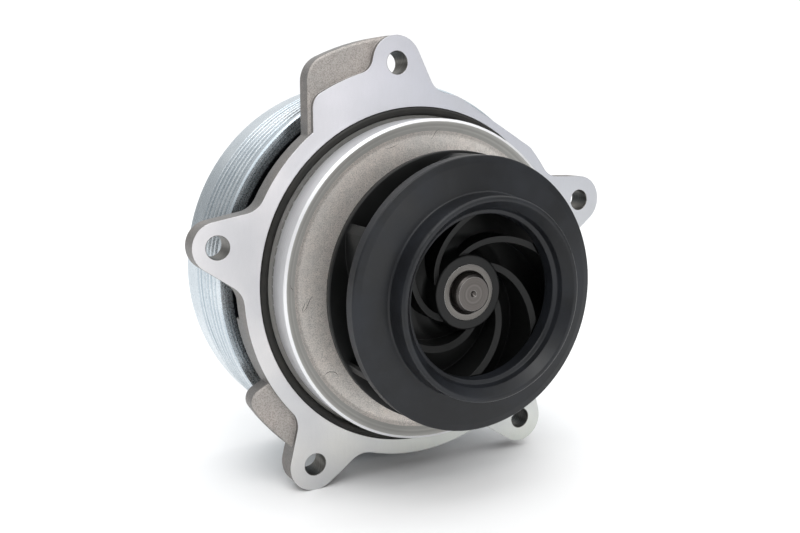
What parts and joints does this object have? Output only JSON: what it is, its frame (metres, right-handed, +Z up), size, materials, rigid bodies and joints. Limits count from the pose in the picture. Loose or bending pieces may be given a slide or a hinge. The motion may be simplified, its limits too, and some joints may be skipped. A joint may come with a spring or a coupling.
{
  "type": "engine coolant pump",
  "caption": "Engine coolant pump: lugged aluminium flange with spigot and O-ring, closed plastic impeller on one side, grooved belt pulley on the other.",
  "frame": {"origin": "centre of the bolt-hole circle on the shaft axis, in the plane of the machined mounting face", "axes": "+Y along the shaft towards the pulley, -Y towards the engine and the impeller, +Z up"},
  "size_m": [0.1423, 0.0937, 0.1367],
  "materials": {
    "cast_aluminium": "satin machined faces with as-cast skin between",
    "ring_rubber": "smooth satin black",
    "bearing_steel": "ground",
    "seal_rubber": "matte black",
    "ball_steel": "polished",
    "cage_plastic": "moulded polyamide",
    "shaft_steel": "dark ground steel",
    "seal_brass": "drawn",
    "spring_steel": "drawn wire",
    "carbon": "lapped carbon",
    "seat_ceramic": "lapped silicon carbide",
    "impeller_plastic": "satin moulded",
    "bush_steel": "turned",
    "hub_steel": "turned",
    "pulley_zinc": "bright zinc plate, turned",
    "bolt_zinc": "zinc plate"
  },
  "bodies": {
    "housing": {"housing": "cast_aluminium", "flange_o_ring": "ring_rubber", "bearing_outer_ring": "bearing_steel", "bearing_seal_front": "seal_rubber", "bearing_seal_rear": "seal_rubber", "seal_cup": "seal_brass", "seal_bellows": "seal_rubber", "seal_spring": "spring_steel", "seal_spring_ring": "seal_brass", "seal_carbon_ring": "carbon"},
    "rotor": {"shaft": "shaft_steel", "slinger": "bearing_steel", "seal_seat_ring": "seat_ceramic", "seal_seat_boot": "seal_rubber", "impeller_body": "impeller_plastic", "impeller_shroud": "impeller_plastic", "impeller_bush": "bush_steel", "pulley_hub": "hub_steel", "pulley": "pulley_zinc", "pulley_bolts": "bolt_zinc"},
    "front_ball_set": {"cage_front": "cage_plastic", "balls_front": "ball_steel"},
    "rear_ball_set": {"cage_rear": "cage_plastic", "balls_rear": "ball_steel"}
  },
  "joints": [
    {"name": "rotor_spin", "type": "hinge", "parent": "housing", "child": "rotor", "pos_m": [0, 0, 0], "axis": [0, 1, 0], "continuous": true},
    {"name": "front_balls_roll", "type": "hinge", "parent": "housing", "child": "front_ball_set", "pos_m": [0, 0, 0], "axis": [0, 1, 0], "continuous": true},
    {"name": "rear_balls_roll", "type": "hinge", "parent": "housing", "child": "rear_ball_set", "pos_m": [0, 0, 0], "axis": [0, 1, 0], "continuous": true}
  ],
  "couplings": [
    {"joint": "front_balls_roll", "follows": "rotor_spin", "ratio": 0.35849},
    {"joint": "rear_balls_roll", "follows": "rotor_spin", "ratio": 0.35849}
  ]
}
